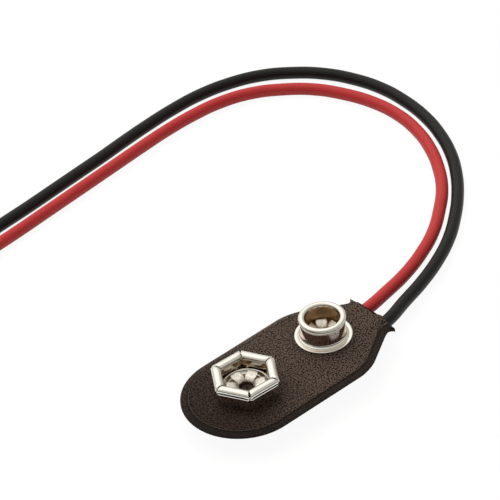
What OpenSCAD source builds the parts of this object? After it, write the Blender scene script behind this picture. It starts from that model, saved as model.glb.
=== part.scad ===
// Battery snap: a soft vinyl pad with a stud and a hexagonal spring socket, riveted to a board
// between two welded sheets, and two insulated leads that leave through the pad's neck.
// Millimetres, +Z up. The origin lies under the middle of the pad, on the surface the pad lies on,
// and +X runs from the socket to the stud and on to the neck.

/* [Pad] */
// Length from the round end to the straight cut at the neck
pad_length = 27.8; // [27.5:0.1:32]
// Width across the straight sides
pad_width = 14.8; // [14.4:0.1:15.6]
// Thickness of each vinyl sheet
sheet_thickness = 0.3; // [0.2:0.01:0.33]
// Width of the welded hem round the edge
hem_width = 0.8; // [0.6:0.05:1]
// Distance over which the top sheet rolls up from the hem to its flat face
top_roll = 1.1; // [0.9:0.05:1.3]
// Distance over which the bottom sheet rolls down from the hem to its flat face
belly_roll = 2; // [1.8:0.05:2.05]
// Rounding of the hem's cut edges
hem_round = 0.12; // [0.05:0.01:0.15]
// Depth of the hem's upper face below the pad's upper face
weld_drop = 0.35; // [0.34:0.01:0.6]

/* [Neck] */
// Radius of the shoulders between the straight sides and the neck
shoulder_radius = 6; // [5:0.05:6.5]
// Slope of the shoulders towards the neck, in degrees
shoulder_angle = 32; // [30:1:36]
// Width of the neck at its narrowest
neck_width = 7.1; // [7:0.1:7.3]
// Width across the ears at the cut
ear_width = 8; // [7.7:0.1:8.1]
// Distance from the cut to the narrowest place
neck_setback = 0.6; // [0.55:0.05:1]
// Length of the neck that grips the leads
neck_grip = 3.1; // [2.9:0.05:3.3]
// Wall of vinyl under each lead in the neck
sleeve_wall = 0.25; // [0.2:0.05:0.35]
// Depth of the leads' axes below the weld in the neck
exit_drop = 0.6; // [0.5:0.05:0.75]

/* [Terminal board] */
// Thickness of the fibre board
board_thickness = 0.5; // [0.4:0.05:0.8]
// Clearance between the board's edge and the sheet round it
board_clearance = 0.05; // [0.02:0.01:0.15]
// Distance from the board's end to the neck
board_setback = 1.4; // [1.3:0.05:1.6]
// Distance between the centres of the two terminals
terminal_pitch = 12.7; // [12.4:0.05:13]
// Distance of the terminals' midpoint from the pad's middle, towards the neck
terminal_shift = 0.7; // [0.4:0.05:0.8]
// Distance of the terminals' line from the pad's middle line
terminal_offset = 0.7; // [0.4:0.05:0.8]
// Turn of the terminals' line about the midpoint, in degrees
terminal_turn = 3; // [0:0.5:4]

/* [Stud] */
// Outer diameter of the rim that snaps in
stud_rim_diameter = 5.72; // [5.65:0.01:5.8]
// Outer diameter of the barrel under the rim
stud_waist_diameter = 5.38; // [5.2:0.01:5.5]
// Diameter of the hollow inside
stud_bore_diameter = 4.58; // [4.4:0.01:4.7]
// Height above the pad
stud_height = 3.05; // [2.7:0.05:3.3]
// Straight height of the rim at its full diameter
stud_rim_land = 0.5; // [0.3:0.05:0.8]
// Diameter of the flange on the pad
stud_flange_diameter = 6.9; // [6.5:0.05:7.4]
// Thickness of the flange and the floor
stud_sheet = 0.25; // [0.2:0.01:0.35]
// Fillet between the flange and the barrel
stud_fillet = 0.25; // [0.1:0.05:0.4]

/* [Socket] */
// Distance across the flats, outside the rolled lips
socket_flats = 7.4; // [7.2:0.05:7.8]
// Free opening between opposite lips
socket_opening = 5.4; // [5.2:0.05:5.6]
// Height above the pad
socket_height = 2.6; // [2.4:0.05:2.9]
// Thickness of the spring sheet
socket_sheet = 0.3; // [0.2:0.01:0.35]
// Width of the slits between the six fingers
socket_slit = 0.16; // [0.08:0.01:0.3]
// Distance that the lips stand out over the walls
socket_overhang = 0.12; // [0.05:0.01:0.18]
// Straight length of the lips inside the opening
socket_lip = 1.1; // [0.8:0.05:1.2]
// Diameter at the top of the round dish in the floor
socket_dish_diameter = 5.4; // [5:0.05:5.6]
// Diameter of the flat floor in the dish
socket_floor_diameter = 4.8; // [4.6:0.05:4.9]
// Height of the step round the dish
socket_step = 0.75; // [0.65:0.05:0.9]
// Turn of the socket about its axis, in degrees
socket_turn = -3; // [-15:1:15]

/* [Rivets] */
// Outer diameter of the barrel
rivet_diameter = 2.4; // [2.2:0.05:2.6]
// Diameter of the hole through the rivet
rivet_bore = 1.8; // [1.6:0.05:1.9]
// Diameter of the flat head under the board
rivet_head_diameter = 3.7; // [3.5:0.05:3.8]
// Thickness of the flat head
rivet_head_thickness = 0.3; // [0.2:0.05:0.4]
// Diameter across the curled petals
rosette_diameter = 4.2; // [4:0.05:4.3]
// Number of petals
petal_count = 7; // [5:1:8]
// Angle of the gap between two petals, in degrees
petal_gap = 24; // [15:1:28]
// Turn of the petals in the stud, in degrees
stud_petal_turn = 29; // [0:1:72]
// Turn of the petals in the socket, in degrees
socket_petal_turn = 34; // [0:1:72]
// Clearance of the holes that the rivets pass through
rivet_clearance = 0.03; // [0.01:0.01:0.06]

/* [Leads] */
// Diameter over the insulation
lead_diameter = 1.6; // [1.4:0.05:1.7]
// Diameter of the bare conductor
conductor_diameter = 0.76; // [0.6:0.02:0.8]
// Length of the stripped tips
tip_length = 6; // [4:0.5:10]
// Play of the leads between the board and the bottom sheet
lead_play = 0.1; // [0.05:0.01:0.2]
// Clearance round the leads in the neck
lead_clearance = 0.02; // [0.01:0.01:0.05]
// Place of the red lead across the neck
red_exit_y = 2; // [1.8:0.05:2.1]
// Place of the black lead across the neck
black_exit_y = -1.45; // [-1.7:0.05:-1.3]

/* [Solder joints] */
// Diameter of the joint on the rivet's head
solder_diameter = 2.6; // [2.2:0.05:3]
// Height of the joint
solder_height = 0.9; // [0.75:0.05:1]
// Distance that the conductor runs past the rivet's axis
tail_overrun = 0.5; // [0.2:0.05:0.7]
// Gap between the conductor and the rivet's head, filled with solder
tail_gap = 0.05; // [0.03:0.01:0.1]

/* [Hidden] */
$fn = 48;

// Colours, as on the real part
vinyl = [0.24, 0.20, 0.19];
fibre = [0.55, 0.42, 0.28];
nickel = [0.80, 0.78, 0.72];
red_pvc = [0.76, 0.20, 0.19];
black_pvc = [0.13, 0.13, 0.13];
tinned = [0.78, 0.78, 0.79];
solder = [0.68, 0.69, 0.71];

// Heights of the layers, from the surface up
lead_radius = lead_diameter / 2;
conductor_radius = conductor_diameter / 2;
lead_z = sheet_thickness + (lead_diameter + lead_play) / 2;
board_z = sheet_thickness + lead_diameter + lead_play;
ceiling_z = board_z + board_thickness;
pad_z = ceiling_z + sheet_thickness;
seam_z = ceiling_z - weld_drop;
exit_z = seam_z - exit_drop;
head_z = board_z - rivet_head_thickness;
hem_fall = hem_round / 4;

// Plan of the pad
cut_x = pad_length / 2;
round_x = (pad_width - pad_length) / 2;
ear_rise = (ear_width - neck_width) / 2;
neck_radius = (ear_rise * ear_rise + neck_setback * neck_setback) / (2 * ear_rise);
neck_x = cut_x - neck_setback;
shoulder_drop = (pad_width - neck_width) / 2;
blend_radius = shoulder_radius + neck_radius;
slope_length = (shoulder_drop - blend_radius * (1 - cos(shoulder_angle))) / sin(shoulder_angle);
shoulder_x = neck_x - blend_radius * sin(shoulder_angle) - slope_length * cos(shoulder_angle);
cavity_x = cut_x - neck_grip;
terminal_middle = [terminal_shift, terminal_offset];
half_pitch = terminal_pitch / 2 * [cos(terminal_turn), sin(terminal_turn)];
stud_at = terminal_middle + half_pitch;
socket_at = terminal_middle - half_pitch;
round_steps = 12;
shoulder_steps = 6;
neck_steps = 5;
roll_steps = 5;

// Plan of the board
board_radius = pad_width / 2 - hem_width - top_roll - board_clearance;
board_end_x = cavity_x - board_setback;

// Sections of the rivets
rivet_radius = rivet_diameter / 2;
rivet_bore_radius = rivet_bore / 2;
rivet_wall = rivet_radius - rivet_bore_radius;
curl_radius = (rosette_diameter / 2 - rivet_bore_radius) / 2;
petal_notch = 0.1;

// Sections of the terminals
rim_radius = stud_rim_diameter / 2;
waist_radius = stud_waist_diameter / 2;
stud_bore_radius = stud_bore_diameter / 2;
stud_flange_radius = stud_flange_diameter / 2;
rim_bead = (rim_radius - stud_bore_radius) / 2;
rim_z = stud_height - rim_bead;
lip_radius = socket_flats / 2;
roll_radius = (socket_flats - socket_opening) / 4;
roll_x = lip_radius - roll_radius;
roll_z = socket_height - roll_radius;
wall_x = lip_radius - socket_overhang;
neck_in_z = roll_z - 2 * socket_overhang;
dish_radius = socket_dish_diameter / 2;

// Routes of the leads: the stretch inside the pad, and the free run, whose first number is measured
// from the cut. The third number is the height of the lead's lowest line, 0 on the surface.
rise = lead_z - lead_radius;
exit_rise = exit_z - lead_radius;
red_inside = [
    [-2.6, 2.5, rise], [0.8, 3.4, rise], [4.2, 3.9, rise], [7, 3.9, rise], [8, 3.62, 0.38],
    [8.8, 3.15, 0.42], [9.5, 2.45, 0.5]
];
red_free = [
    [-3.7, red_exit_y, exit_rise], [0.5, red_exit_y, exit_rise], [4.8, 2.9, 0.49], [9, 4, 0.28],
    [13.1, 5.6, 0.12], [16.9, 7.6, 0.04], [20.4, 10.2, 0], [23.6, 13.1, 0], [26.2, 16.5, 0],
    [28.3, 20.3, 0], [29.7, 24.3, 0], [30.3, 28.6, 0], [29.9, 32.8, 0], [28.6, 36.8, 0],
    [26.6, 40.5, 0], [23.7, 43.6, 0], [20.3, 46, 0], [16.3, 47.4, 0], [12.1, 47.9, 0],
    [7.7, 47.9, 0], [3.4, 47.6, 0], [-1, 47.2, 0], [-5.4, 46.8, 0], [-9.8, 46.4, 0], [-14.2, 46, 0],
    [-18.6, 45.6, 0], [-23, 45.3, 0], [-27.4, 45, 0], [-31.8, 44.7, 0], [-36.2, 44.5, 0],
    [-40.6, 44.3, 0], [-45, 44.2, 0], [-49.4, 44.1, 0], [-53.6, 44.1, 0], [-58.4, 44.1, 0]
];
black_inside = [
    [9.3, -1.3, rise]
];
black_free = [
    [-3.7, black_exit_y, exit_rise], [0.5, black_exit_y, exit_rise], [5.4, 0.1, 0.46],
    [9.6, 1.5, 0.25], [13.6, 3.2, 0.11], [17.4, 5.3, 0.03], [20.9, 7.9, 0], [24.1, 10.8, 0],
    [27, 14.1, 0], [29.4, 17.7, 0], [31.2, 21.6, 0], [32.4, 25.7, 0], [32.9, 30, 0],
    [32.7, 34.3, 0], [31.6, 38.4, 0], [29.7, 42.2, 0], [27, 45.4, 0], [23.7, 48, 0],
    [19.8, 49.7, 0], [15.7, 50.6, 0], [11.3, 50.8, 0], [7, 50.6, 0], [2.6, 50.2, 0],
    [-1.8, 49.7, 0], [-6.2, 49.3, 0], [-10.5, 48.9, 0], [-14.9, 48.5, 0], [-19.3, 48.2, 0],
    [-23.7, 47.9, 0], [-28.1, 47.6, 0], [-32.5, 47.4, 0], [-36.9, 47.2, 0], [-41.3, 47.1, 0],
    [-45, 47, 0], [-49.4, 47, 0]
];
function route(inside, free) = [
    for (p = concat(inside, [for (q = free) q + [cut_x, 0, 0]])) p + [0, 0, lead_radius]
];
red_route = route(red_inside, red_free);
black_route = route(black_inside, black_free);
lead_sides = 8;
tip_direction = [-1, 0, 0];

// Plan curves
function arc(centre, radius, from, to, steps) = [
    for (i = [0:steps])
        let (a = from + (to - from) * i / steps)
            centre + radius * [cos(a), sin(a)]
];
function round_end(inset) = arc([round_x, 0], pad_width / 2 - inset, 180, 90, round_steps);
function shoulder(inset) = arc(
    [shoulder_x, pad_width / 2 - shoulder_radius], shoulder_radius - inset,
    90, 90 - shoulder_angle, shoulder_steps);
function neck(inset) = arc(
    [neck_x, neck_width / 2 + neck_radius], neck_radius + inset,
    270 - shoulder_angle, 360 - acos(neck_setback / (neck_radius + inset)), neck_steps);

// Half of the pad's outline, and half of the hollow that stops short of the neck
function pad_half(inset) = concat(round_end(inset), shoulder(inset), neck(inset));
function cavity_half(inset) =
    let (bend = shoulder(inset))
    let (last = bend[shoulder_steps])
    let (slope = [cavity_x - last.x, (last.x - cavity_x) * tan(shoulder_angle)])
    concat(round_end(inset), bend, [for (i = [1:neck_steps + 1]) last + slope * i / (neck_steps + 1)]);
function ring(half, z) = concat(
    [for (p = half) [p.x, p.y, z]],
    [for (i = [len(half) - 1:-1:1]) [half[i].x, -half[i].y, z]]);

// Closed surface through a chain of rings, each symmetric about the X axis. The first ring is
// capped from above and the last from below.
module skin(rings) {
    count = len(rings[0]);
    last = len(rings) - 1;
    middle = (count - 1) / 2;
    function opposite(i) = (count - i) % count;
    polyhedron(
        points = [for (r = rings) each r],
        faces = concat(
            [[0, 1, opposite(1)]],
            [for (i = [2:middle]) [i - 1, i, opposite(i), opposite(i - 1)]],
            [for (k = [0:last - 1], j = [0:count - 1])
                let (n = (j + 1) % count)
                    [k * count + j, (k + 1) * count + j, (k + 1) * count + n, k * count + n]],
            [[for (c = [0, opposite(1), 1]) last * count + c]],
            [for (i = [2:middle])
                [for (c = [i - 1, opposite(i - 1), opposite(i), i]) last * count + c]]));
}

// Straight round rod between two points
module rod(from, to, radius) {
    v = to - from;
    translate(from)
        rotate([0, acos(v.z / norm(v)), atan2(v.y, v.x)])
            cylinder(r = radius, h = norm(v));
}

// Tube with flat sides along a route, with its end faces square to the two directions given
function unit(v) = v / norm(v);
function heading(path, i, first, final) =
    i == 0 ? first
    : i == len(path) - 1 ? final
    : unit(unit(path[i + 1] - path[i]) + unit(path[i] - path[i - 1]));
module tube(path, radius, first, final) {
    sides = lead_sides;
    last = len(path) - 1;
    points = [
        for (i = [0:last])
            let (forward = heading(path, i, first, final))
            let (side = unit(cross(forward, [0, 0, 1])))
            let (up = cross(side, forward))
                for (k = [0:sides - 1])
                    path[i] + radius * (cos(360 * k / sides) * side + sin(360 * k / sides) * up)
    ];
    polyhedron(
        points = points,
        faces = concat(
            [[for (k = [sides - 1:-1:0]) k]],
            [for (i = [0:last - 1], k = [0:sides - 1])
                let (n = (k + 1) % sides)
                    [i * sides + k, i * sides + n, (i + 1) * sides + n, (i + 1) * sides + k]],
            [[for (k = [0:sides - 1]) last * sides + k]]));
}

// Channels in the neck that grip the leads, and the holes for the rivets
module lead_channels(radius, from_x, to_x) {
    for (y = [red_exit_y, black_exit_y])
        rod([from_x, y, exit_z], [to_x, y, exit_z], radius);
}
module rivet_holes(from_z, to_z) {
    for (at = [socket_at, stud_at])
        translate([at.x, at.y, from_z])
            cylinder(r = rivet_radius + rivet_clearance, h = to_z - from_z);
}

module top_cover() {
    roll_z = seam_z + sheet_thickness;
    outside = [
        for (i = [roll_steps:-1:0])
            let (a = 90 * i / roll_steps)
                ring(pad_half(hem_width + top_roll * (1 - cos(a))), roll_z + (pad_z - roll_z) * sin(a))
    ];
    hem = [
        ring(pad_half(hem_round), roll_z - hem_fall),
        ring(pad_half(0), roll_z - hem_round),
        ring(pad_half(0), seam_z),
        ring(cavity_half(hem_width + sheet_thickness), seam_z)
    ];
    inside = [
        for (i = [0:roll_steps])
            let (a = 90 * i / roll_steps)
            let (inset = hem_width + top_roll - (top_roll - sheet_thickness) * cos(a))
                ring(cavity_half(inset), roll_z + (ceiling_z - roll_z) * sin(a))
    ];
    color(vinyl)
        difference() {
            skin(concat(outside, hem, inside));
            rivet_holes(board_z, pad_z + sheet_thickness);
            lead_channels(lead_radius + lead_clearance, cavity_x - lead_diameter, cut_x + lead_radius);
        }
}

module bottom_cover() {
    roll_z = seam_z - sheet_thickness;
    inside = [
        for (i = [roll_steps:-1:0])
            let (a = 90 * i / roll_steps)
            let (inset = hem_width + belly_roll - (belly_roll - sheet_thickness) * cos(a))
                ring(cavity_half(inset), roll_z - (roll_z - sheet_thickness) * sin(a))
    ];
    hem = [
        ring(cavity_half(hem_width + sheet_thickness), seam_z),
        ring(pad_half(0), seam_z),
        ring(pad_half(0), roll_z + hem_round),
        ring(pad_half(hem_round), roll_z + hem_fall)
    ];
    outside = [
        for (i = [0:roll_steps])
            let (a = 90 * i / roll_steps)
                ring(pad_half(hem_width + belly_roll * (1 - cos(a))), roll_z * (1 - sin(a)))
    ];
    color(vinyl)
        difference() {
            union() {
                skin(concat(inside, hem, outside));
                neck_sleeves();
            }
            lead_channels(lead_radius + lead_clearance, cavity_x - lead_diameter, cut_x + lead_radius);
        }
}

// The bottom sheet follows the leads through the neck
module neck_sleeves() {
    intersection() {
        lead_channels(lead_radius + lead_clearance + sleeve_wall, cavity_x + sheet_thickness, cut_x);
        translate([cavity_x, -pad_width / 2, 0])
            cube([neck_grip, pad_width, seam_z - sheet_thickness / 2]);
    }
}

module terminal_board() {
    straight = board_end_x - board_radius - round_x;
    color(fibre)
        difference() {
            translate([round_x, 0, board_z])
                linear_extrude(board_thickness) {
                    circle(board_radius);
                    translate([0, -board_radius])
                        square([straight, 2 * board_radius]);
                    translate([straight, 0])
                        circle(board_radius);
                }
            rivet_holes(head_z, pad_z);
        }
}

// Drawn stud with a folded wall: flange, waisted barrel and rolled rim round a hollow
module stud_terminal() {
    land_z = rim_z - stud_rim_land;
    rim_step = abs(rim_radius - waist_radius);
    hole_radius = rivet_radius + rivet_clearance;
    color(nickel)
        translate([stud_at.x, stud_at.y, pad_z])
            rotate_extrude() {
                translate([hole_radius, 0])
                    square([stud_flange_radius - stud_sheet / 2 - hole_radius, stud_sheet]);
                translate([stud_flange_radius - stud_sheet / 2, stud_sheet / 2])
                    circle(stud_sheet / 2);
                translate([stud_bore_radius, 0])
                    square([waist_radius - stud_bore_radius, land_z]);
                difference() {
                    translate([waist_radius - stud_fillet / 2, stud_sheet / 2])
                        square([stud_fillet * 1.5, stud_fillet + stud_sheet / 2]);
                    translate([waist_radius + stud_fillet, stud_sheet + stud_fillet])
                        circle(stud_fillet);
                }
                polygon([
                    [stud_bore_radius, land_z - rim_step], [waist_radius, land_z - rim_step],
                    [rim_radius, land_z], [rim_radius, rim_z], [stud_bore_radius, rim_z]
                ]);
                translate([stud_bore_radius + rim_bead, rim_z])
                    circle(rim_bead);
            }
}

// Hollow rivet: a flat head under the board, a barrel, and petals curled over the terminal's floor
module rivet(floor_z, turn) {
    difference() {
        rotate_extrude() {
            translate([rivet_bore_radius, head_z])
                square([rivet_head_diameter / 2 - rivet_bore_radius, rivet_head_thickness]);
            translate([rivet_bore_radius, head_z])
                square([rivet_wall, floor_z - head_z]);
            translate([rivet_bore_radius + curl_radius, floor_z])
                intersection() {
                    difference() {
                        circle(curl_radius);
                        circle(curl_radius - rivet_wall);
                    }
                    translate([-curl_radius, 0])
                        square([2 * curl_radius, curl_radius]);
                }
        }
        for (i = [0:petal_count - 1])
            rotate(turn + 360 * i / petal_count)
                translate([0, 0, floor_z - petal_notch])
                    linear_extrude(curl_radius + 2 * petal_notch)
                        petal_gap_plan();
    }
}
module petal_gap_plan() {
    root = rivet_bore_radius - rivet_wall;
    reach = rosette_diameter;
    half_width = (reach - root) * tan(petal_gap / 2);
    polygon([[root, 0], [reach, -half_width], [reach, half_width]]);
}

module stud_rivet() {
    color(nickel)
        translate([stud_at.x, stud_at.y, 0])
            rivet(pad_z + stud_sheet, stud_petal_turn);
}

module socket_rivet() {
    color(nickel)
        translate([socket_at.x, socket_at.y, 0])
            rivet(pad_z + socket_sheet, socket_petal_turn);
}

// Hexagonal spring socket: a dished floor and six fingers with rolled lips, slit at the corners
module socket_terminal() {
    color(nickel)
        translate([socket_at.x, socket_at.y, pad_z])
            rotate(socket_turn) {
                socket_floor();
                for (i = [0:5])
                    rotate(30 + 60 * i)
                        socket_finger();
            }
}

module socket_floor() {
    groove_radius = wall_x - socket_sheet;
    difference() {
        cylinder(r = wall_x / cos(30), h = socket_step, $fn = 6);
        translate([0, 0, socket_sheet])
            cylinder(r1 = socket_floor_diameter / 2, r2 = dish_radius, h = socket_step - socket_sheet);
        translate([0, 0, -socket_sheet])
            cylinder(r = rivet_radius + rivet_clearance, h = 3 * socket_sheet);
        rotate_extrude()
            translate([dish_radius + socket_sheet, -socket_sheet])
                square([groove_radius - dish_radius - socket_sheet, socket_step]);
    }
}

module socket_finger() {
    side = 2 * lip_radius * tan(30);
    corner = 2 * lip_radius;
    intersection() {
        rotate([90, 0, 0])
            linear_extrude(side, center = true)
                finger_section();
        linear_extrude(socket_height)
            polygon([
                [socket_slit, 0],
                [corner, (corner - socket_slit) * tan(30)],
                [corner, -(corner - socket_slit) * tan(30)]
            ]);
    }
}

// Section of a finger: the wall, the neck-in under the lip, the roll, and the lip's inner edge
module finger_section() {
    translate([wall_x - socket_sheet, socket_step / 2])
        square([socket_sheet, neck_in_z - socket_step / 2]);
    polygon([
        [wall_x - socket_sheet, neck_in_z], [wall_x, neck_in_z],
        [lip_radius, roll_z], [lip_radius - socket_sheet, roll_z]
    ]);
    translate([roll_x, roll_z])
        intersection() {
            difference() {
                circle(roll_radius);
                circle(roll_radius - socket_sheet);
            }
            translate([-roll_radius, 0])
                square([2 * roll_radius, roll_radius]);
        }
    translate([socket_opening / 2, roll_z - socket_lip])
        square([socket_sheet, socket_lip]);
}

// The leads: insulation along the route, stripped tips, bare tails and their soldered joints
function tail_end(at) = [at.x, at.y, head_z - tail_gap - conductor_radius];
function tail_heading(route, at) = unit(tail_end(at) - route[0]);

module lead(route, at) {
    tube(route, lead_radius, -tail_heading(route, at), tip_direction);
}
module tip(route) {
    start = route[len(route) - 1];
    rod(start, start + tip_length * tip_direction, conductor_radius);
}
module tail(route, at) {
    start = route[0];
    rod(start, tail_end(at) + tail_overrun * tail_heading(route, at), conductor_radius);
}
module solder_joint(route, at) {
    base = solder_diameter / 2;
    ball = (base * base + solder_height * solder_height) / (2 * solder_height);
    difference() {
        intersection() {
            translate([at.x, at.y, head_z - solder_height + ball])
                sphere(ball);
            translate([at.x - 2 * base, at.y - 2 * base, head_z - 2 * solder_height])
                cube([4 * base, 4 * base, 2 * solder_height]);
        }
        tail(route, at);
    }
}

module red_lead() { color(red_pvc) lead(red_route, socket_at); }
module red_tip() { color(tinned) tip(red_route); }
module red_tail() { color(tinned) tail(red_route, socket_at); }
module red_solder_joint() { color(solder) solder_joint(red_route, socket_at); }
module black_lead() { color(black_pvc) lead(black_route, stud_at); }
module black_tip() { color(tinned) tip(black_route); }
module black_tail() { color(tinned) tail(black_route, stud_at); }
module black_solder_joint() { color(solder) solder_joint(black_route, stud_at); }

top_cover();
bottom_cover();
terminal_board();
stud_terminal();
stud_rivet();
socket_terminal();
socket_rivet();
red_lead();
red_tip();
red_tail();
red_solder_joint();
black_lead();
black_tip();
black_tail();
black_solder_joint();
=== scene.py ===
from math import cos, pi, radians, sin, tan

import bmesh
import bpy
from mathutils import Matrix, Vector


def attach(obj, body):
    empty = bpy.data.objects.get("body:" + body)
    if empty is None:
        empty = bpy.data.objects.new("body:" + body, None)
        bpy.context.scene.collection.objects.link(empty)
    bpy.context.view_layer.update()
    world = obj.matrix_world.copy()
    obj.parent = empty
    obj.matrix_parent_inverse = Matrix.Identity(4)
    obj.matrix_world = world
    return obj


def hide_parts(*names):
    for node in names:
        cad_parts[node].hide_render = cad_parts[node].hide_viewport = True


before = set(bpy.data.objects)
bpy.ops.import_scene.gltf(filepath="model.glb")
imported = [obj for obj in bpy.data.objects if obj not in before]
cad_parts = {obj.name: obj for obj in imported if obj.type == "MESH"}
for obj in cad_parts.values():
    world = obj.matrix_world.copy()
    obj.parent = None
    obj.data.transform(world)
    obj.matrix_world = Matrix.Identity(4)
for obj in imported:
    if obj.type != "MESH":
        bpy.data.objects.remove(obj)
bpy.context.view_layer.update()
MM = 0.001


# Camera, from the photograph's viewing angle
AZIMUTH, ELEVATION, ROLL = radians(-37.1), radians(38.8), radians(-6.014)
AIM = Vector((13.61, 22.34, 0)) * MM
CAMERA_DISTANCE = 450 * MM
FOCAL_LENGTH, SENSOR_WIDTH = 262.5, 36


def set_up_camera():
    back = Vector((sin(AZIMUTH) * cos(ELEVATION), -cos(AZIMUTH) * cos(ELEVATION), sin(ELEVATION)))
    right = Vector((cos(AZIMUTH), sin(AZIMUTH), 0))
    up = back.cross(right)
    across = cos(ROLL) * right + sin(ROLL) * up
    upright = cos(ROLL) * up - sin(ROLL) * right
    lens = bpy.data.cameras.new("camera")
    lens.lens, lens.sensor_width = FOCAL_LENGTH, SENSOR_WIDTH
    lens.clip_start, lens.clip_end = 0.01, 20
    camera = bpy.data.objects.new("camera", lens)
    camera.matrix_world = Matrix((across, upright, back)).transposed().to_4x4()
    camera.location = AIM + back * CAMERA_DISTANCE
    bpy.context.collection.objects.link(camera)
    bpy.context.scene.camera = camera


set_up_camera()


# The leads, in millimetres: the stretch inside the pad, then the free run, whose first number is
# measured from the cut across the neck. The third number is the height of the lead's lowest line.
LEAD_RADIUS = 0.8
CUT_X = 13.9
RED_EXIT_Y, BLACK_EXIT_Y = 2, -1.45

red_inside = [
    (-2.6, 2.5, 0.35), (0.8, 3.4, 0.35), (4.2, 3.9, 0.35), (7, 3.9, 0.35), (8, 3.62, 0.38),
    (8.8, 3.15, 0.42), (9.5, 2.45, 0.5)
]
red_free = [
    (-3.7, 2, 0.75), (0.5, 2, 0.75), (4.8, 2.9, 0.49), (9, 4, 0.28),
    (13.1, 5.6, 0.12), (16.9, 7.6, 0.04), (20.4, 10.2, 0), (23.6, 13.1, 0), (26.2, 16.5, 0),
    (28.3, 20.3, 0), (29.7, 24.3, 0), (30.3, 28.6, 0), (29.9, 32.8, 0), (28.6, 36.8, 0),
    (26.6, 40.5, 0), (23.7, 43.6, 0), (20.3, 46, 0), (16.3, 47.4, 0), (12.1, 47.9, 0),
    (7.7, 47.9, 0), (3.4, 47.6, 0), (-1, 47.2, 0), (-5.4, 46.8, 0), (-9.8, 46.4, 0), (-14.2, 46, 0),
    (-18.6, 45.6, 0), (-23, 45.3, 0), (-27.4, 45, 0), (-31.8, 44.7, 0), (-36.2, 44.5, 0),
    (-40.6, 44.3, 0), (-45, 44.2, 0), (-49.4, 44.1, 0), (-53.6, 44.1, 0), (-58.4, 44.1, 0)
]
black_inside = [(9.3, -1.3, 0.35)]
black_free = [
    (-3.7, -1.45, 0.75), (0.5, -1.45, 0.75), (5.4, 0.1, 0.46),
    (9.6, 1.5, 0.25), (13.6, 3.2, 0.11), (17.4, 5.3, 0.03), (20.9, 7.9, 0), (24.1, 10.8, 0),
    (27, 14.1, 0), (29.4, 17.7, 0), (31.2, 21.6, 0), (32.4, 25.7, 0), (32.9, 30, 0),
    (32.7, 34.3, 0), (31.6, 38.4, 0), (29.7, 42.2, 0), (27, 45.4, 0), (23.7, 48, 0),
    (19.8, 49.7, 0), (15.7, 50.6, 0), (11.3, 50.8, 0), (7, 50.6, 0), (2.6, 50.2, 0),
    (-1.8, 49.7, 0), (-6.2, 49.3, 0), (-10.5, 48.9, 0), (-14.9, 48.5, 0), (-19.3, 48.2, 0),
    (-23.7, 47.9, 0), (-28.1, 47.6, 0), (-32.5, 47.4, 0), (-36.9, 47.2, 0), (-41.3, 47.1, 0),
    (-45, 47, 0), (-49.4, 47, 0)
]


def middle_line(inside, free):
    points = inside + [(x + CUT_X, y, z) for x, y, z in free]
    return [Vector((x, y, z + LEAD_RADIUS)) * MM for x, y, z in points]


def lay_lead(name, points):
    curve = bpy.data.curves.new(name, "CURVE")
    curve.dimensions = "3D"
    curve.resolution_u = 8
    curve.bevel_depth = LEAD_RADIUS * MM
    curve.bevel_resolution = 10
    curve.use_fill_caps = True
    spline = curve.splines.new("BEZIER")
    spline.bezier_points.add(len(points) - 1)
    for knot, point in zip(spline.bezier_points, points):
        knot.co = point
        knot.handle_left_type = knot.handle_right_type = "AUTO"
    lead = bpy.data.objects.new(name, curve)
    bpy.context.collection.objects.link(lead)
    return lead


red_line = middle_line(red_inside, red_free)
black_line = middle_line(black_inside, black_free)
red_wire = lay_lead("red_wire", red_line)
black_wire = lay_lead("black_wire", black_line)


# Modelling by hand: a primitive is added, shaped in edit mode, and finished
def add(name, operator, **settings):
    if bpy.context.object and bpy.context.object.mode != "OBJECT":
        bpy.ops.object.mode_set(mode="OBJECT")
    bpy.ops.object.select_all(action="DESELECT")
    operator(**settings)
    piece = bpy.context.object
    piece.name = piece.data.name = name
    bpy.ops.object.transform_apply(location=True, rotation=True, scale=True)
    bpy.ops.object.mode_set(mode="EDIT")
    return piece


def select(piece, kind, wanted):
    bpy.ops.mesh.select_mode(type=kind)
    bpy.ops.mesh.select_all(action="DESELECT")
    mesh = bmesh.from_edit_mesh(piece.data)
    parts = {"VERT": mesh.verts, "EDGE": mesh.edges, "FACE": mesh.faces}[kind]
    for part in parts:
        if wanted(part):
            part.select_set(True)
    mesh.select_flush_mode()
    bmesh.update_edit_mesh(piece.data)


def select_all():
    bpy.ops.mesh.select_all(action="SELECT")


def move(x, y, z):
    bpy.ops.transform.translate(value=Vector((x, y, z)) * MM)


def extrude(x, y, z):
    bpy.ops.mesh.extrude_region_move(TRANSFORM_OT_translate={"value": Vector((x, y, z)) * MM})


def stretch(x, y, z, about=(0, 0, 0)):
    bpy.ops.transform.resize(value=(x, y, z), center_override=Vector(about) * MM)


def merge_doubles(distance=0.0005):
    select_all()
    bpy.ops.mesh.remove_doubles(threshold=distance * MM)


def turn_outwards():
    select_all()
    bpy.ops.mesh.normals_make_consistent(inside=False)


def finish_piece(piece, smooth_angle=35):
    bpy.ops.object.mode_set(mode="OBJECT")
    bpy.ops.object.select_all(action="DESELECT")
    piece.select_set(True)
    bpy.context.view_layer.objects.active = piece
    bpy.ops.object.shade_smooth_by_angle(angle=radians(smooth_angle))
    return piece


def apply_modifier(piece, kind, **settings):
    bpy.ops.object.mode_set(mode="OBJECT")
    bpy.context.view_layer.objects.active = piece
    modifier = piece.modifiers.new(kind.lower(), kind)
    for setting, value in settings.items():
        setattr(modifier, setting, value)
    bpy.ops.object.modifier_apply(modifier=modifier.name)


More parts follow.
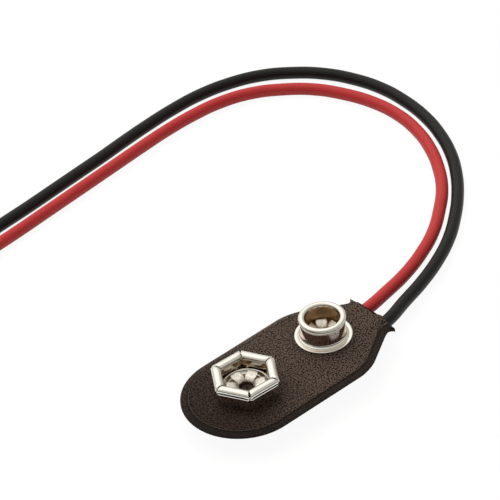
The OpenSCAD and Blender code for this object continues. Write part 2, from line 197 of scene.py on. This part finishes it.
def set_down(piece, x, y, z, turn=0):
    """Puts a piece that was modelled at the origin in its place."""
    bpy.ops.object.mode_set(mode="OBJECT")
    bpy.ops.object.select_all(action="DESELECT")
    piece.select_set(True)
    bpy.context.view_layer.objects.active = piece
    piece.location = Vector((x, y, z)) * MM
    piece.rotation_euler = (0, 0, radians(turn))
    bpy.ops.object.transform_apply(location=True, rotation=True, scale=True)


def ease(value):
    value = min(max(value, 0), 1)
    return value * value * (3 - 2 * value)


# The two vinyl sheets
HALF_LENGTH, HALF_WIDTH = CUT_X, 7.4
SHOULDER = (6.964, HALF_WIDTH)
NECK = (13.669, 3.21)
PAST_THE_CUT = (18.5, 19.77)
SHOULDER_ROUNDING, NECK_ROUNDING = 1.72, 0.825
SEAM_Z = 2.45
SEAM_GAP = 0.01
PAD_Z = 2.8
TOP_THICKNESS, BOTTOM_THICKNESS = 0.2, 0.12
BLACK_SWELL, RED_SWELL = 0.42, 0.1
EAR_DEPTH = 0.36
LEAD_CLEARANCE = 0.95
FINE_CUT, EXACT_CUT = 1e-6, 1e-7


def cut_out_plan(name, z):
    """The pad's outline as one flat face: a round end, two shoulders and a flaring neck."""
    plan = add(name, bpy.ops.mesh.primitive_plane_add, size=2 * MM, location=(0, 0, z * MM))
    select_all()
    stretch(HALF_LENGTH, HALF_WIDTH, 1, (0, 0, z))
    right, half = HALF_LENGTH, HALF_WIDTH
    for x, y in (SHOULDER, NECK, PAST_THE_CUT):
        select(plan, "EDGE", lambda e: all(abs(v.co.x / MM - right) < 0.01 for v in e.verts))
        if right == HALF_LENGTH:
            move(x - right, 0, 0)
        else:
            extrude(x - right, 0, 0)
            stretch(1, y / half, 1, (x, 0, z))
        right, half = x, y
    select(plan, "FACE", lambda f: True)
    bpy.ops.mesh.dissolve_faces()
    for corner_x, offset, steps in (
        (-HALF_LENGTH, HALF_WIDTH, 30),
        (SHOULDER[0], SHOULDER_ROUNDING, 14),
        (NECK[0], NECK_ROUNDING, 12),
    ):
        select(plan, "VERT", lambda v: abs(v.co.x / MM - corner_x) < 0.01)
        bpy.ops.mesh.bevel(affect="VERTICES", offset=offset * MM, segments=steps)
    merge_doubles(0.002)
    bpy.ops.mesh.select_mode(type="FACE")
    select_all()
    return plan


def raise_rows(rows):
    """Insets the selected face row by row. A row is the inset and the rise from the row before."""
    for inset, rise in rows:
        bpy.ops.mesh.inset(thickness=inset * MM, depth=0, use_even_offset=True)
        move(0, 0, rise)


def cut_square():
    bpy.ops.object.mode_set(mode="EDIT")
    select_all()
    bpy.ops.mesh.bisect(plane_co=(CUT_X * MM, 0, 0), plane_no=(1, 0, 0), use_fill=True,
                        clear_outer=True, threshold=EXACT_CUT)


def weave_in_cuts(start_x, count, half_width, step=0.25):
    """Cuts across and along the sheet, so that it can give way to the leads."""
    for i in range(count):
        select_all()
        bpy.ops.mesh.bisect(plane_co=((start_x + step * i) * MM, 0, 0), plane_no=(1, 0, 0),
                            threshold=FINE_CUT)
    rows = int(2 * half_width / step) + 1
    for i in range(rows):
        select_all()
        bpy.ops.mesh.bisect(plane_co=(0, (i * step - half_width) * MM, 0), plane_no=(0, 1, 0),
                            threshold=FINE_CUT)


def swell_over_leads(sheet):
    """Near the cut the top sheet rises over the black lead, a little over the red, and stays level
    between.
    """
    mesh = bmesh.from_edit_mesh(sheet.data)
    for v in mesh.verts:
        x, y, z = v.co / MM
        along = ease((x - 9.6) / 3.9)
        path = BLACK_EXIT_Y - 0.25 + 0.1 * (x - CUT_X)
        swell = BLACK_SWELL * along * ease(1 - abs(y - path) / 1.35)
        swell += RED_SWELL * along * ease(1 - abs(y - RED_EXIT_Y) / 1.3)
        if z > SEAM_Z + 0.06:
            v.co.z += swell * MM
    bmesh.update_edit_mesh(sheet.data)


def give_way(sheet, lines, clearance):
    """The bottom sheet is pushed out wherever a lead inside would touch it."""
    places = []
    for line in lines:
        for a, b in zip(line, line[1:]):
            if a.x > (CUT_X + 2) * MM:
                break
            count = max(int((b - a).length / (0.12 * MM)), 1)
            places += [a.lerp(b, i / count) for i in range(count)]
    mesh = bmesh.from_edit_mesh(sheet.data)
    for v in mesh.verts:
        near = min(places, key=lambda p: (v.co - p).length_squared)
        away = v.co - near
        if away.length < clearance * MM and away.z < 0.3 * MM:
            away.x = 0
            away.z = min(away.z, 0)
            v.co = Vector((v.co.x, near.y, near.z)) + away.normalized() * clearance * MM
            v.co.z = max(v.co.z, 0)
    bmesh.update_edit_mesh(sheet.data)


def thicken_ears(sheet):
    """The welded seam is deeper where the neck flares to the cut."""
    mesh = bmesh.from_edit_mesh(sheet.data)
    for v in mesh.verts:
        x, y, z = v.co / MM
        if z < SEAM_Z - 0.03:
            depth = EAR_DEPTH * ease((x - 12) / 1.7) * ease((abs(y) - 2.7) / 0.6)
            v.co.z = max(z - depth, 0) * MM
    bmesh.update_edit_mesh(sheet.data)


def face_it(sheet, way):
    """Turns all faces so that the large flat one looks up (1) or down (-1)."""
    mesh = bmesh.from_edit_mesh(sheet.data)
    mesh.normal_update()
    flat = max(mesh.faces, key=lambda f: f.calc_area())
    if flat.normal.z * way < 0:
        select_all()
        bpy.ops.mesh.flip_normals()


def wall_thickness(piece, thickness):
    apply_modifier(piece, "SOLIDIFY", thickness=thickness * MM, offset=-1, use_even_offset=False,
                   use_rim=True)


def make_top_sheet():
    sheet = cut_out_plan("top_sheet", SEAM_Z + SEAM_GAP)
    edge = [(0.004, 0.06), (0.03, 0.035), (0.06, 0.025)]
    hem = [(0.12, 0.03), (0.14, 0.028), (0.15, 0.022), (0.15, 0.02), (0.15, 0.012), (0.08, 0)]
    crease = [(0.05, 0.035), (0.035, 0.05), (0.035, 0.035), (0.05, 0.02), (0.08, 0.004)]
    level = [(0.12, -0.008), (0.3, -0.003), (0.5, 0)]
    raise_rows(edge + hem + crease + level)
    face_it(sheet, 1)
    weave_in_cuts(9, 26, 4.25)
    swell_over_leads(sheet)
    merge_doubles()
    wall_thickness(sheet, TOP_THICKNESS)
    cut_square()
    return finish_piece(sheet, 50)


def make_bottom_sheet():
    sheet = cut_out_plan("bottom_sheet", SEAM_Z - SEAM_GAP)
    hem = [(0, SEAM_Z - SEAM_GAP), (0.004, 2.39), (0.03, 2.37), (0.5, 2.24), (0.85, 2.05), (1.05, 1.86)]
    side = [(1.05 + 0.27 * i, 1.86 - 0.24 * i) for i in range(1, 6)]
    curve = [(2.62, 0.46), (2.8, 0.31), (2.94, 0.2), (3.06, 0.11), (3.16, 0.05), (3.24, 0.015), (3.3, 0)]
    places = hem + side + curve
    raise_rows([(b[0] - a[0], b[1] - a[1]) for a, b in zip(places, places[1:])])
    face_it(sheet, -1)
    weave_in_cuts(-4, 78, 6.5)
    give_way(sheet, (red_line, black_line), LEAD_CLEARANCE)
    thicken_ears(sheet)
    merge_doubles()
    wall_thickness(sheet, BOTTOM_THICKNESS)
    cut_square()
    return finish_piece(sheet, 50)


top_sheet = make_top_sheet()
bottom_sheet = make_bottom_sheet()


# The metal: what is round is drawn on ring by ring, what is bent is drawn on edge by edge
STUD_AT = (7.041, 1.032)
SOCKET_AT = (-5.641, 0.368)
SOCKET_TURN = -3
FINGER_METAL, PETAL_METAL = 0.28, 0.16
LIP_GAP, WALL_GAP, OPEN_SLIT = 0.2, 0.08, 0.14
RIVET_BORE, RIVET_RADIUS, RIVET_HEAD_RADIUS = 0.9, 1.2, 1.85
RIVET_HEAD_Z, RIVET_HEAD_HEIGHT = 1.7, 0.3
STRAND_RADIUS, STRAND_SPACING = 0.126, 0.25
TIP_STEP, TIP_STEPS, TIP_TWIST = 0.25, 24, radians(9)


def drawn_ring(name, section, sides=96):
    """A round piece. The section's places are a radius and a height, and the last joins the first."""
    radius, height = section[0]
    piece = add(name, bpy.ops.mesh.primitive_circle_add, vertices=sides, radius=radius * MM,
                location=(0, 0, height * MM))
    bpy.ops.mesh.select_mode(type="VERT")
    select_all()
    for r, z in list(section[1:]) + [section[0]]:
        extrude(0, 0, z - height)
        stretch(r / radius, r / radius, 1)
        radius, height = r, z
    merge_doubles()
    turn_outwards()
    return piece


def bent_strip(name, section, half_widths, thickness, across=6):
    """A strip of sheet metal, pulled on from place to place: a distance from the axis and a height."""
    piece = add(name, bpy.ops.mesh.primitive_grid_add, x_subdivisions=1, y_subdivisions=across,
                size=2 * MM)
    (x, z), half = section[0], half_widths[0]
    select_all()
    stretch(1, half, 1)
    move(x + 1, 0, z)
    select(piece, "VERT", lambda v: v.co.x / MM > x + 1)
    move(-2, 0, 0)
    for (next_x, next_z), next_half in zip(section[1:], half_widths[1:]):
        if (x, z) != section[0]:
            extrude(next_x - x, 0, next_z - z)
        else:
            move(next_x - x, 0, next_z - z)
        stretch(1, next_half / half, 1)
        x, z, half = next_x, next_z, next_half
    apply_modifier(piece, "SOLIDIFY", thickness=thickness * MM, offset=0, use_even_offset=True,
                   use_rim=True)
    apply_modifier(piece, "BEVEL", width=0.035 * MM, segments=2, limit_method="ANGLE",
                   angle_limit=radians(50))
    bpy.ops.object.mode_set(mode="EDIT")
    turn_outwards()
    return piece


def copy_round(count):
    """Copies of what was modelled, evenly round the axis."""
    select_all()
    for _ in range(count - 1):
        bpy.ops.mesh.duplicate()
        bpy.ops.transform.rotate(value=2 * pi / count, orient_axis="Z", center_override=(0, 0, 0))


def arc(centre_x, centre_z, radius, start, end, steps):
    turns = [radians(start + (end - start) * i / steps) for i in range(steps + 1)]
    return [(centre_x + radius * cos(t), centre_z + radius * sin(t)) for t in turns]


def make_stud():
    flange = [(3.3, 0), (3.4, 0.02)] + arc(3.38, 0.13, 0.12, -60, 90, 8)
    flange += [(3.3, 0.255), (3.16, 0.25), (3.08, 0.235), (3.03, 0.2), (2.99, 0.235)]
    flange += arc(2.9, 0.27, 0.1, -20, 80, 5)
    waist = [(2.84, 0.42), (2.77, 0.52), (2.72, 0.68), (2.695, 0.9), (2.685, 1.2), (2.69, 1.5)]
    waist += [(2.7, 1.8), (2.71, 2.1), (2.72, 2.3)]
    ridge = [(2.76, 2.35), (2.8, 2.39), (2.8, 2.43), (2.76, 2.47), (2.73, 2.51), (2.76, 2.56)]
    ridge += [(2.82, 2.62)]
    rim_turns = [pi * i / 20 for i in range(21)]
    rim = [(2.48 + 0.38 * cos(t), 2.76 + 0.28 * sin(t)) for t in rim_turns]
    hollow = [(2.1, 2.5), (2.11, 2), (2.11, 1.4), (2.09, 0.9), (2.04, 0.6), (1.94, 0.42)]
    hollow += [(1.8, 0.33), (1.6, 0.28), (1.23, 0.25), (1.23, 0)]
    stud = drawn_ring("stud", flange + waist + ridge + rim + hollow)
    set_down(stud, *STUD_AT, PAD_Z)
    return finish_piece(stud, 40)


def open_slit(fingers, corner, gap):
    """The two walls at one corner stand a little further apart below their lips."""
    for side in (-1, 1):
        wall = radians(corner + 30 * side)
        tangent = Vector((-sin(wall), cos(wall), 0)) * side
        middle = Vector((cos(radians(corner)), sin(radians(corner)), 0))
        select(fingers, "VERT", lambda v: v.co.z < 1.9 * MM and v.co.dot(middle) > 3.75 * MM
               and side * (middle.cross(v.co).z) > 0)
        move(*(tangent * gap))


def make_socket_fingers():
    wall = [(3.5, 0), (3.5, 0.9), (3.51, 1.5), (3.52, 1.6)]
    shoulder = [(3.5, 1.68), (3.4, 1.82), (3.4, 1.9), (3.5, 1.98)]
    lip_turns = [pi * i / 22 for i in range(-1, 24)]
    lip = [(3.19 + 0.46 * cos(t), 2.1 + 0.36 * sin(t)) for t in lip_turns]
    spring = [(2.74, 1.8), (2.77, 1.5), (2.82, 1.3), (2.88, 1.1)]
    section = wall + shoulder + lip + spring
    half_widths = [(x - (LIP_GAP if z > 2.1 else WALL_GAP)) * tan(pi / 6) for x, z in section]
    fingers = bent_strip("socket_fingers", section, half_widths, FINGER_METAL)
    select_all()
    bpy.ops.transform.rotate(value=pi / 6, orient_axis="Z", center_override=(0, 0, 0))
    copy_round(6)
    open_slit(fingers, 240, OPEN_SLIT)
    set_down(fingers, *SOCKET_AT, PAD_Z, SOCKET_TURN)
    return finish_piece(fingers, 40)


def make_socket_floor():
    ledge = [(3.3, 0), (3.42, 0.05), (3.42, 0.7), (3.38, 0.75), (2.8, 0.75)]
    dish = [(2.72, 0.73), (2.66, 0.66), (2.6, 0.55), (2.52, 0.42), (2.44, 0.34), (2.34, 0.31)]
    bottom = [(2.2, 0.3), (1.23, 0.3), (1.23, 0)]
    floor = drawn_ring("socket_floor", ledge + dish + bottom)
    set_down(floor, *SOCKET_AT, PAD_Z, SOCKET_TURN)
    return finish_piece(floor, 40)


def make_rivet(name, at, floor_z, reach, turn):
    """A hollow rivet: a flat head, a barrel, and six petals flared over the floor."""
    section = [(RIVET_BORE, -0.12), (RIVET_BORE, 0.05)]
    section += [(0.93, 0.16), (1, 0.26), (1.12, 0.34), (1.3, 0.42)]
    section += [(1.3 + (reach - 1.3) * i / 5, 0.42 + 0.3 * i / 5 - 0.06 * (i / 5) ** 3)
                for i in range(1, 6)]
    half_widths = [0.46, 0.46, 0.49, 0.53, 0.58, 0.64, 0.68, 0.7, 0.7, 0.66, 0.5]
    rosette = bent_strip(name, section, half_widths, PETAL_METAL)
    copy_round(6)
    set_down(rosette, *at, PAD_Z + floor_z, turn)
    rosette = finish_piece(rosette, 45)
    low, rise = RIVET_HEAD_Z - PAD_Z - floor_z, RIVET_HEAD_HEIGHT
    head = [(RIVET_BORE, low), (RIVET_HEAD_RADIUS, low), (RIVET_HEAD_RADIUS, low + rise)]
    shank = [(RIVET_RADIUS, low + rise), (RIVET_RADIUS, 0.06), (RIVET_BORE, 0.06)]
    barrel = drawn_ring(name + "_barrel", head + shank, 64)
    set_down(barrel, *at, PAD_Z + floor_z)
    return rosette, finish_piece(barrel, 40)


def make_twisted_tip(name, end):
    """Seven tinned strands, twisted."""
    strand = dict(vertices=12, radius=STRAND_RADIUS * MM, fill_type="NGON", rotation=(0, pi / 2, 0))
    tip = add(name, bpy.ops.mesh.primitive_circle_add, location=end, **strand)
    for i in range(6):
        around = Vector((0, cos(i * pi / 3), sin(i * pi / 3))) * STRAND_SPACING * MM
        bpy.ops.mesh.primitive_circle_add(location=Vector(end) + around, **strand)
    bpy.ops.mesh.select_mode(type="FACE")
    select_all()
    for _ in range(TIP_STEPS):
        extrude(-TIP_STEP, 0, 0)
        bpy.ops.transform.rotate(value=TIP_TWIST, orient_axis="X", center_override=end)
    turn_outwards()
    return finish_piece(tip, 50)


stud = make_stud()
socket_fingers = make_socket_fingers()
socket_floor = make_socket_floor()
stud_petals, stud_barrel = make_rivet("stud_petals", STUD_AT, floor_z=0.25, reach=1.9, turn=56)
socket_petals, socket_barrel = make_rivet("socket_petals", SOCKET_AT, floor_z=0.3, reach=2.3, turn=27)
red_strands = make_twisted_tip("red_strands", red_line[-1])
black_strands = make_twisted_tip("black_strands", black_line[-1])


# Materials
class Socket:
    """A shader socket that takes part in Python expressions."""

    def __init__(self, tree, socket):
        self.tree, self.socket = tree, socket

    def maths(self, operation, first, second):
        return self.tree.node("ShaderNodeMath", {"operation": operation}, {0: first, 1: second})

    def __add__(self, other):
        return self.maths("ADD", self, other)

    def __radd__(self, other):
        return self.maths("ADD", other, self)

    def __sub__(self, other):
        return self.maths("SUBTRACT", self, other)

    def __rsub__(self, other):
        return self.maths("SUBTRACT", other, self)

    def __mul__(self, other):
        return self.maths("MULTIPLY", self, other)

    def __truediv__(self, other):
        return self.maths("DIVIDE", self, other)

    def __pow__(self, other):
        return self.maths("POWER", self, other)

    def clamp(self):
        return self.tree.node("ShaderNodeClamp", {}, {"Value": self})

    def step(self, start, end):
        """0 up to start, 1 from end on, smooth between."""
        return self.tree.node("ShaderNodeMapRange", {"interpolation_type": "SMOOTHSTEP"},
                              {"Value": self, "From Min": start, "From Max": end})


class Finish:
    """A material and its nodes."""

    def __init__(self, name="", tree=None):
        if tree is None:
            self.material = bpy.data.materials.new(name)
            self.material.use_nodes = True
            tree = self.material.node_tree
        self.nodes, self.links = tree.nodes, tree.links
        self.nodes.clear()

    def node(self, kind, settings, values, output=0):
        node = self.nodes.new(kind)
        for setting, value in settings.items():
            setattr(node, setting, value)
        for socket, value in values.items():
            if isinstance(value, Socket):
                self.links.new(value.socket, node.inputs[socket])
            else:
                node.inputs[socket].default_value = value
        return Socket(self, node.outputs[output])

    def place(self):
        return self.node("ShaderNodeTexCoord", {}, {}, "Object")

    def stretched(self, vector, scale):
        return self.node("ShaderNodeMapping", {}, {"Vector": vector, "Scale": scale})

    def split(self, vector):
        parts = self.node("ShaderNodeSeparateXYZ", {}, {"Vector": vector})
        node = parts.socket.node
        return [Socket(self, node.outputs[i]) for i in range(3)]

    def noise(self, vector, scale, detail=2, roughness=0.5):
        return self.node("ShaderNodeTexNoise", {}, {"Vector": vector, "Scale": scale, "Detail": detail,
                                                    "Roughness": roughness})

    def cells(self, vector, scale, dimensions="3D"):
        return self.node("ShaderNodeTexVoronoi", {"voronoi_dimensions": dimensions},
                         {"Vector": vector, "Scale": scale}, "Distance")

    def mix(self, factor, first, second):
        return self.node("ShaderNodeMix", {"data_type": "RGBA"}, {0: factor, 6: first, 7: second}, 2)

    def bump(self, height, depth, strength):
        return self.node("ShaderNodeBump", {}, {"Height": height, "Distance": depth * MM,
                                                "Strength": strength})

    def surface(self, **values):
        inputs = {key.replace("_", " "): value for key, value in values.items()}
        self.end(self.node("ShaderNodeBsdfPrincipled", {}, inputs))
        return self.material

    def end(self, shader, kind="ShaderNodeOutputMaterial"):
        output = self.nodes.new(kind)
        self.links.new(shader.socket, output.inputs["Surface"])


def shade(red, green, blue):
    """A colour as a screen shows it, 0 to 255, made linear."""
    def linear(value):
        value /= 255
        return value / 12.92 if value <= 0.04045 else ((value + 0.055) / 1.055) ** 2.4
    return (linear(red), linear(green), linear(blue), 1)


def pebbled_vinyl():
    f = Finish("pebbled_vinyl")
    place = f.place()
    x, y, z = f.split(place)
    height = z / MM
    drift = f.noise(place, 260, 1)
    pebbles = f.cells(place, 4600, "2D")
    fine = f.noise(place, 9000, 2, 0.6)
    grain = 1.1 - pebbles * 1.1 + (fine - 0.5) * 0.9
    # Bands by height: the side below the seam, the hem, the foot of its step, and the step's upper edge;
    # the foot gets painted shade and the upper edge a painted highlight
    under = 1 - height.step(2.1, 2.3)
    hem = (1 - height.step(2.69, 2.74) - under).clamp()
    painted_shade_foot = height.step(2.67, 2.69) * (1 - height.step(2.7, 2.74))
    crease = height.step(2.74, 2.775) * (1 - height.step(2.795, 2.82))
    # Pale specks on a dark ground; both get painted shade towards the round end, standing in for the
    # light falling off there
    painted_shade_to_round_end = (x / MM).step(-14, 2)
    tone = f.mix(drift, shade(98, 82, 70), shade(114, 98, 87))
    ground = f.mix(painted_shade_to_round_end, shade(5, 3, 2), shade(31, 21, 16))
    speck = f.mix(painted_shade_to_round_end, shade(66, 48, 40), tone)
    grain_and_painted_shade = f.mix(grain.step(0.34, 1.16), ground, speck)
    # The hem on the near side (y below 0) is darkened: painted shade, where the hem turns away from the
    # light above
    painted_shade_near_hem = hem * (1 - (y / MM).step(0, 5)) * 0.82
    with_painted_edge_shade = f.mix(painted_shade_foot * 0.6, f.mix(painted_shade_near_hem, grain_and_painted_shade, shade(22, 16, 14)), shade(18, 13, 11))
    # A pale line painted along the step's upper edge (the crease mask): a painted highlight
    colour = f.mix(crease * 0.5, with_painted_edge_shade, shade(112, 98, 89))
    return f.surface(Base_Color=colour, Roughness=0.5, Specular_IOR_Level=0.11,
                     Normal=f.bump(grain * (1 - hem * 0.4), 0.11, 1))


def bright_nickel():
    f = Finish("bright_nickel")
    place = f.place()
    x, y, z = f.split(place)
    height = z / MM - PAD_Z
    cloud = f.noise(place, 420, 3)
    scuffs = f.noise(f.stretched(place, (1, 1, 0.15)), 5200, 2)
    speckle = f.noise(place, 5200, 3, 0.7)

    def out_from(at):
        across, along = x / MM - at[0], y / MM - at[1]
        return across, along, (across ** 2 + along ** 2) ** 0.5

    across, along, out = out_from(STUD_AT)
    hollow = (1 - out.step(2.16, 2.22)) * (1 - height.step(2.45, 2.75))
    facing = (across * -0.158 + along * -0.987) / out
    barrel = out.step(2.5, 2.55) * (1 - out.step(2.74, 2.78))
    barrel = barrel * height.step(0.5, 0.7) * (1 - height.step(2.25, 2.33))
    # On the stud barrel's side toward the light, a speckled patch is made pale and non-metal: a painted
    # highlight
    lit_side = (facing + (height - 2.3) * 0.03).step(0.925, 0.985)
    painted_highlight_patch = lit_side * barrel * height.step(0.8, 1.7) * speckle.step(0.3, 0.55)
    across, along, out = out_from(SOCKET_AT)
    inside = (1 - out.step(3.5, 3.55)) * out.step(2.6, 2.9)
    inside = inside * height.step(0.7, 0.85) * (1 - height.step(1.7, 2))
    below = (1 - out.step(2.2, 2.4)) * (1 - height.step(0.33, 0.38))
    # Inside the stud's hollow, inside the socket's walls and on the socket's floor the nickel is painted
    # brown with streaks: painted reflection of light bouncing inside the warm nickel
    painted_inner_reflection = (hollow + inside + below).clamp()
    clean = f.mix(cloud, (0.82, 0.79, 0.72, 1), (0.89, 0.87, 0.81, 1))
    reflection_streaks = f.noise(f.stretched(place, (1, 1, 6)), 1500, 2)
    reflected_brown = f.mix(reflection_streaks, (0.42, 0.25, 0.1, 1), (0.74, 0.5, 0.25, 1))
    # The stud's barrel, apart from the highlight, is tinted a speckled red: a painted reflection
    painted_red_reflection = f.mix(speckle, (0.5, 0.26, 0.22, 1), (0.72, 0.5, 0.42, 1))
    with_painted_red_reflection = f.mix((barrel - painted_highlight_patch).clamp() * 0.6, clean, painted_red_reflection)
    colour = f.mix(painted_inner_reflection * 0.8, with_painted_red_reflection, reflected_brown)
    return f.surface(Base_Color=colour, Metallic=1 - painted_highlight_patch * 0.95,
                     Roughness=0.07 + scuffs * 0.09 + painted_inner_reflection * 0.22 + painted_highlight_patch * 0.3,
                     Normal=f.bump(f.noise(place, 900, 2), 0.01, 0.25))


def petal_nickel():
    f = Finish("petal_nickel")
    place = f.place()
    scuffs = f.noise(place, 3200, 3)
    colour = f.mix(scuffs.step(0.3, 0.7), (0.6, 0.55, 0.48, 1), (0.92, 0.88, 0.81, 1))
    return f.surface(Base_Color=colour, Metallic=1.0, Roughness=0.22 + scuffs * 0.2,
                     Normal=f.bump(scuffs, 0.015, 0.3))


def soft_pvc(name, dark, light, roughness):
    f = Finish(name)
    place = f.place()
    cloud = f.noise(place, 180, 3)
    skin = f.noise(place, 2600, 3)
    return f.surface(Base_Color=f.mix(cloud, dark, light), Roughness=roughness + skin * 0.14,
                     Specular_IOR_Level=0.25, Normal=f.bump(skin, 0.02, 0.35))


def tinned_copper():
    f = Finish("tinned_copper")
    place = f.place()
    patches = f.noise(place, 900, 3)
    colour = f.mix(patches.step(0.45, 0.75), (0.72, 0.71, 0.7, 1), (0.6, 0.52, 0.44, 1))
    return f.surface(Base_Color=colour, Metallic=1.0, Roughness=0.22 + patches * 0.15)


def satin_solder():
    f = Finish("satin_solder")
    place = f.place()
    frost = f.noise(place, 1500, 4)
    colour = f.mix(frost, (0.5, 0.5, 0.52, 1), (0.7, 0.7, 0.72, 1))
    return f.surface(Base_Color=colour, Metallic=1.0, Roughness=0.2 + frost * 0.25,
                     Normal=f.bump(frost, 0.03, 0.5))


def pressed_fibre():
    f = Finish("pressed_fibre")
    place = f.place()
    fibres = f.noise(f.stretched(place, (1, 6, 6)), 700, 4)
    flecks = f.cells(place, 1400)
    colour = f.mix(fibres, shade(120, 86, 52), shade(166, 130, 88))
    return f.surface(Base_Color=colour, Roughness=0.7, Normal=f.bump(flecks, 0.03, 0.5))


def dress(piece, material):
    piece.data.materials.clear()
    piece.data.materials.append(material)


vinyl = pebbled_vinyl()
nickel = bright_nickel()
petal = petal_nickel()
red_pvc = soft_pvc("red_pvc", shade(158, 36, 38), shade(172, 47, 46), 0.4)
black_pvc = soft_pvc("black_pvc", shade(13, 12, 11), shade(20, 19, 17), 0.38)
tin = tinned_copper()
solder = satin_solder()
fibre = pressed_fibre()

for piece, finish in (
    (top_sheet, vinyl), (bottom_sheet, vinyl), (red_wire, red_pvc), (black_wire, black_pvc),
    (stud, nickel), (socket_fingers, nickel), (socket_floor, nickel), (stud_petals, petal),
    (stud_barrel, nickel), (socket_petals, petal), (socket_barrel, nickel), (red_strands, tin),
    (black_strands, tin),
):
    dress(piece, finish)
for node, finish in {
    "terminal_board": fibre, "red_tail": tin, "black_tail": tin,
    "red_solder_joint": solder, "black_solder_joint": solder,
}.items():
    dress(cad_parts[node], finish)


# Floor, light and world
SEEN_WHITE = 0.93
SKY_STRENGTH, LAMP_POWER = 0.95, 2.6
LAMP_WIDTH, LAMP_DEPTH = 0.5, 0.35
LAMP_AT, LAMP_AIM = Vector((0.05, 0.3, 0.45)), Vector((0.01, 0.015, 0))


def white_floor():
    """Seen as nearly white, while it still takes a shadow."""
    f = Finish("white_floor")
    path = f.node("ShaderNodeLightPath", {}, {}).socket.node
    camera, glossy, through = (Socket(f, path.outputs[name]) for name in
                               ("Is Camera Ray", "Is Glossy Ray", "Is Transmission Ray"))
    seen = (camera + glossy + through).clamp()
    lit = f.node("ShaderNodeBsdfDiffuse", {}, {"Color": (0.9, 0.9, 0.9, 1)})
    white = f.node("ShaderNodeEmission", {}, {"Color": (1, 1, 1, 1), "Strength": 1})
    f.end(f.node("ShaderNodeMixShader", {}, {0: seen * SEEN_WHITE, 1: lit, 2: white}))
    floor = add("floor", bpy.ops.mesh.primitive_plane_add, size=6, location=(0, 0, 0))
    bpy.ops.object.mode_set(mode="OBJECT")
    dress(floor, f.material)


def studio():
    """A sky that is dark low down on the viewer's side and brightest towards the lamp."""
    world = bpy.data.worlds.new("studio")
    bpy.context.scene.world = world
    world.use_nodes = True
    w = Finish(tree=world.node_tree)
    across, along, height = w.split(w.node("ShaderNodeTexCoord", {}, {}, "Generated"))
    away = across * 0.603 + along * 0.798
    camera = w.node("ShaderNodeLightPath", {}, {}, "Is Camera Ray")
    towards_lamp = across * 0.09 + along * 0.55 + height * 0.83
    overhead = w.mix(towards_lamp.step(0.55, 0.97), (0.56, 0.545, 0.51, 1), (1.3, 1.28, 1.24, 1))
    sky = w.mix((height + away * 0.25).step(0.14, 0.3), (0.05, 0.048, 0.045, 1), overhead)
    glow = w.node("ShaderNodeBackground", {}, {"Color": sky, "Strength": SKY_STRENGTH})
    white = w.node("ShaderNodeBackground", {}, {"Color": (1, 1, 1, 1), "Strength": 1})
    w.end(w.node("ShaderNodeMixShader", {}, {0: camera, 1: glow, 2: white}), "ShaderNodeOutputWorld")
    lamp = bpy.data.lights.new("softbox", "AREA")
    lamp.shape, lamp.size, lamp.size_y = "RECTANGLE", LAMP_WIDTH, LAMP_DEPTH
    lamp.energy = LAMP_POWER
    lamp.color = (1, 0.98, 0.95)
    softbox = bpy.data.objects.new("softbox", lamp)
    softbox.location = LAMP_AT
    softbox.rotation_euler = (LAMP_AIM - LAMP_AT).to_track_quat("-Z", "Y").to_euler()
    softbox.visible_glossy = False
    bpy.context.collection.objects.link(softbox)


white_floor()
studio()
bpy.context.scene.view_settings.view_transform = "Standard"


# What each piece stands for
for piece, node, slot in (
    (top_sheet, "top_cover", "vinyl"), (bottom_sheet, "bottom_cover", "vinyl"),
    (stud, "stud_terminal", "nickel"), (stud_petals, "stud_rivet", "nickel"),
    (stud_barrel, "stud_rivet", "nickel"),
    (socket_fingers, "socket_terminal", "nickel"), (socket_floor, "socket_terminal", "nickel"),
    (socket_petals, "socket_rivet", "nickel"), (socket_barrel, "socket_rivet", "nickel"),
    (red_wire, "red_lead", "red_pvc"), (black_wire, "black_lead", "black_pvc"),
    (red_strands, "red_tip", "tinned_copper"), (black_strands, "black_tip", "tinned_copper"),
):
    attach(piece, "root")
    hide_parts(node)
